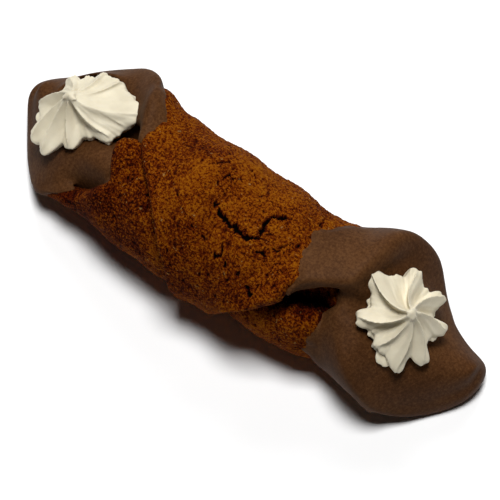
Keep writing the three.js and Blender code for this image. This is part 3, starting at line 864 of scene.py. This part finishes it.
# The right end: its coating, the bed in its mouth, and the slopes that ran down to the star from the
# rims behind and before it. The whole levelled round the star, and most at its outer corner.
RIGHT_RIM = RIGHT_EDGE + np.stack((0 * RIGHT_EDGE[:, 0], line_at(RIGHT_OVER, RIGHT_EDGE[:, 0])), -1)
right_skin = melted(
    "chocolate_right",
    [
        coat_grid("coat", RIGHT_COAT, 1),
        tube_mesh("bed", fill_rings(RIGHT_STAR, RIGHT_RIM, RIGHT_STATIONS, RIGHT_RAISED)),
        tube_mesh("far_slope", slope_rings(RIGHT_STAR, RIGHT_RIM, (62, 188), 6, 0.2)),
        tube_mesh("near_slope", slope_rings(RIGHT_STAR, RIGHT_RIM, (-150, -70), 10, 1.4)),
    ],
    SKIN_VOXEL,
)
right_skin = levelled(right_skin, 70, RIGHT_STAR["centre"][:2], 13, 20, 0.06)
right_skin = levelled(right_skin, 30, (60, 4), 7, 12, 0)
add_piece("chocolate_right_skin", right_skin, chocolate, "chocolate", "chocolate_right")

# The left end: its coating, bed and slope. It levelled round the star, and most in three places.
LEFT_RIM = LEFT_EDGE - np.stack((0 * LEFT_EDGE[:, 0], line_at(LEFT_OVER, LEFT_EDGE[:, 0])), -1)
left_bed = fill_rings(LEFT_STAR, LEFT_RIM, LEFT_STATIONS, LEFT_RAISED, LEFT_TUCK, LEFT_DENTS)
left_skin = melted(
    "chocolate_left",
    [
        coat_grid("coat", LEFT_COAT, -1),
        tube_mesh("bed", left_bed),
        tube_mesh("slope", slope_rings(LEFT_STAR, LEFT_RIM, (-35, 168), 10.5, 0.2)),
    ],
    SKIN_VOXEL,
)
left_skin = levelled(left_skin, 60, LEFT_STAR["centre"][:2], 14, 18, 0.1)
for rounds, middle, near, far in (
    (30, (-63, 4), 5, 9),  # its outer corner
    (45, (-34, 8), 4, 8.5),  # the inner end of its bed
    (70, (-41.3, -11.8), 2.5, 5.5),  # the crease in the front flap
):
    left_skin = levelled(left_skin, rounds, middle, near, far, 0)
add_piece("chocolate_left_skin", left_skin, chocolate, "chocolate", "chocolate_left")

# ---------------------------------------------------------------- the cream
# Whipped butter cream, piped through the roll from a bag and finished at each mouth with a turn of the
# star nozzle, which leaves eight or nine sharp crests that draw together into a small tip.

STAR_FOOT = -1.8  # a star's underside, and its tip, from its widest part
STAR_TOP = 10.2
UNDER_TOP = 2.4  # the top of its lower layer
SHARPENS = (1.2, 3.2)  # the heights between which its blunt lobes turn into sharp crests
KNOBS = (8.2, 9.2)  # the heights between which its tip turns knobbly

# How far a star reaches at each height, as (height, share of its full reach), and how deep the grooves
# between its crests cut in there, as (height, share).
STAR_SHARE = np.array(
    [
        (STAR_FOOT, 0.6), (-0.9, 0.9), (0.6, 1), (2.6, 0.99), (3.8, 0.86), (5.1, 0.67), (6.5, 0.47),
        (7.8, 0.29), (8.8, 0.16), (9.6, 0.13), (STAR_TOP, 0.03),
    ]
)
STAR_GROOVE = np.array(
    [(STAR_FOOT, 0.1), (0.6, 0.3), (3.4, 0.5), (6.4, 0.62), (8.4, 0.5), (STAR_TOP, 0.1)]
)
RING_STEP = 0.12  # between the rings of a star
RING_POINTS = 420


def star_reach(crests, heading, height, blunt):
    """How far a star reaches at a heading: sharp crests above, and blunt lobes at the rim."""
    first = crests[0]
    at = np.array([crest[0] for crest in crests] + [first[0] + 360])
    reach = np.array([crest[1] for crest in crests] + [first[1]])
    notch = np.array([crest[2] for crest in crests])
    deep = np.array([crest[3] for crest in crests])
    turned = (heading - at[0]) % 360 + at[0]
    k = np.clip(np.searchsorted(at, turned, side="right") - 1, 0, len(crests) - 1)
    gap = at[k + 1] - at[k]
    t = (turned - at[k]) / gap
    between = reach[k] + (reach[k + 1] - reach[k]) * smooth_step(t, 0, 1)
    from_crest = np.minimum(t, 1 - t) * gap
    rounded_notch = notch[k] * smooth_step(from_crest, 5, np.minimum(17, gap / 2))
    sharp_groove = deep[k] * line_at(STAR_GROOVE, height) * np.sin(np.pi * t**0.8) ** 0.7
    cut_in = rounded_notch * blunt + sharp_groove * (1 - blunt)
    return between * (1 - cut_in)


def side_places(headings, heights, wide, high):
    """Places on a star's side, in cells so many degrees wide and millimetres high."""
    return np.stack((headings / wide + 0 * heights, heights / high + 0 * headings), -1)


def star_rings(star, layer, top, seed):
    """One layer of a star, as rings from its foot to its top: the crests, or the lobes under them."""
    heights = np.linspace(STAR_FOOT, top, int((top - STAR_FOOT) / RING_STEP))[:, None]
    headings = np.linspace(0, 360, RING_POINTS, endpoint=False)[None, :]
    share = line_at(STAR_SHARE, heights)
    swirled = headings - star["swirl"] * (1 - share)
    blunt = 1 - smooth_step(heights, *SHARPENS)
    reach = star_reach(star[layer], swirled, heights, blunt)
    if layer == "under":
        share = share * (1 - smooth_step(heights, 0, top))

    # Stiff cream folds as it leaves the nozzle, tears a little at the rim and breaks off at the tip.
    at_side = side_places(swirled, heights, 5, 4)
    folds = 0.34 * waves(at_side, 1, seed) + 0.2 * waves(at_side * (2.1, 1.6), 1, seed + 1)
    folds = folds + 0.3 * blunt * waves(side_places(swirled, heights, 7, 1.1), 1, seed + 2)
    knobs = 0.7 * smooth_step(heights, *KNOBS) * waves(at_side * (0.12, 5), 1, seed + 3)
    reach = share * reach + (folds + knobs) * np.clip(share * 3, 0, 1)
    bowed = 0.5 * waves(side_places(headings, 0 * heights, 40, 1), 1, seed + 4)

    shift = np.maximum(heights, 0) / STAR_TOP
    local = np.stack(
        (
            reach * np.cos(np.radians(headings)) + star["lean"][0] * shift,
            reach * np.sin(np.radians(headings)) + star["lean"][1] * shift,
            heights + bowed * share,
        ),
        -1,
    )
    tilt, heading = np.radians(star["tilt"]), np.radians(star["heading"])
    axis = Vector((np.sin(tilt) * np.cos(heading), np.sin(tilt) * np.sin(heading), np.cos(tilt)))
    turn = np.array(Vector((0, 0, 1)).rotation_difference(axis).to_matrix())
    return local @ turn.T + np.array(star["centre"])


# The rope of cream through the roll, as (distance along, place across, height, radius).
ROPE = np.array(
    [
        (-47, 4.2, 17.4, 5),
        (-43, 3.8, 15, 5),
        (-37, 2.6, 10.5, 3.6),
        (-31, 1.4, 10.5, 4),
        (-24, 0.6, 15, 8),
        (0, 0.4, 14.6, 9.5),
        (24, 0.6, 14, 8),
        (31, 1.4, 14.8, 7.6),
        (36, 2.6, 17, 7),
        (40.5, 3.8, 20.4, 6.5),
    ]
)


def rope_rings():
    """The cream inside the roll, a round rope from star to star."""
    alongs = np.linspace(ROPE[0, 0], ROPE[-1, 0], 40)[:, None]
    round_it = np.radians(np.linspace(0, 360, 32, endpoint=False))[None, :]
    side, height, radius = (line_at(ROPE[:, [0, k]], alongs) for k in (1, 2, 3))
    return np.stack(
        (
            alongs + 0 * round_it,
            side - radius * np.sin(round_it),
            height + radius * np.cos(round_it),
        ),
        -1,
    )


def whipped_cream():
    """Butter cream: off-white and matt, and light goes a little way into it. The air whipped into it
    leaves pores nearer 0.1 mm: they are drawn at 0.5 mm, so that they show."""
    material, tree, surface = new_material(
        "whipped_butter_cream",
        Roughness=0.6,
        IOR=1.45,
        Subsurface_Weight=0.08,
        Subsurface_Radius=(1.0, 0.8, 0.5),
        Subsurface_Scale=0.8 * MM,
    )
    place = node(tree, "TexCoord").outputs["Object"]
    cloud = node(tree, "TexNoise", Vector=place, Scale=1 / (5 * MM), Detail=3.0, Roughness=0.5)
    tint = ramp(tree, cloud.outputs["Fac"], [(0.35, "#cfc5ac"), (0.65, "#ddd4bb")])
    tree.links.new(tint, surface.inputs["Base Color"])
    pores = node(tree, "TexNoise", Vector=place, Scale=1 / (0.5 * MM), Detail=4.0, Roughness=0.6)
    bump = node(tree, "Bump", Strength=0.3, Distance=0.12 * MM, Height=pores.outputs["Fac"])
    tree.links.new(bump.outputs["Normal"], surface.inputs["Normal"])
    return material


CREAM_VOXEL = 0.22
layers = [
    tube_mesh("star_layer", star_rings(star, layer, top, seed))
    for star, layer, top, seed in (
        (RIGHT_STAR, "crests", STAR_TOP, 200),
        (RIGHT_STAR, "under", UNDER_TOP, 210),
        (LEFT_STAR, "crests", STAR_TOP, 300),
        (LEFT_STAR, "under", UNDER_TOP, 310),
    )
]
stars_mesh = levelled(melted("cream_stars", layers, CREAM_VOXEL), 1)
cream_mesh = joined("cream_stars", [stars_mesh, tube_mesh("cream_rope", rope_rings())])
add_piece("cream_stars", cream_mesh, whipped_cream(), "cream", "cream_filling")

# ---------------------------------------------------------------- the table and the light
# A white laminate table top, and soft studio light: a small lamp nearly overhead, a large one behind
# the roll, and a weak even light from all round.

TABLE_EDGE = 3.0  # metres from the middle of the table to each edge
floor_mesh = bpy.data.meshes.new("table_top")
floor_corners = [(x * TABLE_EDGE, y * TABLE_EDGE, 0) for x, y in ((-1, -1), (1, -1), (1, 1), (-1, 1))]
floor_mesh.from_pydata(floor_corners, [], [(0, 1, 2, 3)])
floor_material, floor_tree, floor_surface = new_material("white_laminate", Roughness=0.7, IOR=1.45)
floor_place = node(floor_tree, "TexCoord").outputs["Object"]
floor_cloud = node(floor_tree, "TexNoise", Vector=floor_place, Scale=1 / (60 * MM), Detail=2.0)
floor_white = ramp(floor_tree, floor_cloud.outputs["Fac"], [(0.3, "#fbfbfb"), (0.7, "#ffffff")])
floor_tree.links.new(floor_white, floor_surface.inputs["Base Color"])
floor_mesh.materials.append(floor_material)
floor = bpy.data.objects.new("table_top", floor_mesh)
bpy.context.collection.objects.link(floor)


def lamp(name, heading, rise, distance, size, power):
    """A square soft lamp that looks at the roll from a heading, in degrees from +X towards +Y. Its
    distance and size are in metres, and its power in watts."""
    turn, up = np.radians(heading), np.radians(rise)
    toward = Vector((np.cos(up) * np.cos(turn), np.cos(up) * np.sin(turn), np.sin(up)))
    data = bpy.data.lights.new(name, "AREA")
    data.size = size
    data.energy = power
    made = bpy.data.objects.new(name, data)
    made.location = toward * distance
    made.rotation_euler = toward.to_track_quat("Z", "Y").to_euler()
    bpy.context.collection.objects.link(made)


lamp("key_lamp", 126, 85, 0.9, 0.26, 8)
lamp("back_lamp", 122, 42, 1.8, 0.8, 11.2)
world = bpy.data.worlds.new("studio")
world.use_nodes = True
background = world.node_tree.nodes["Background"]
background.inputs["Color"].default_value = colour("#ffffff")
background.inputs["Strength"].default_value = 0.012
bpy.context.scene.world = world
bpy.context.scene.view_settings.view_transform = "Standard"
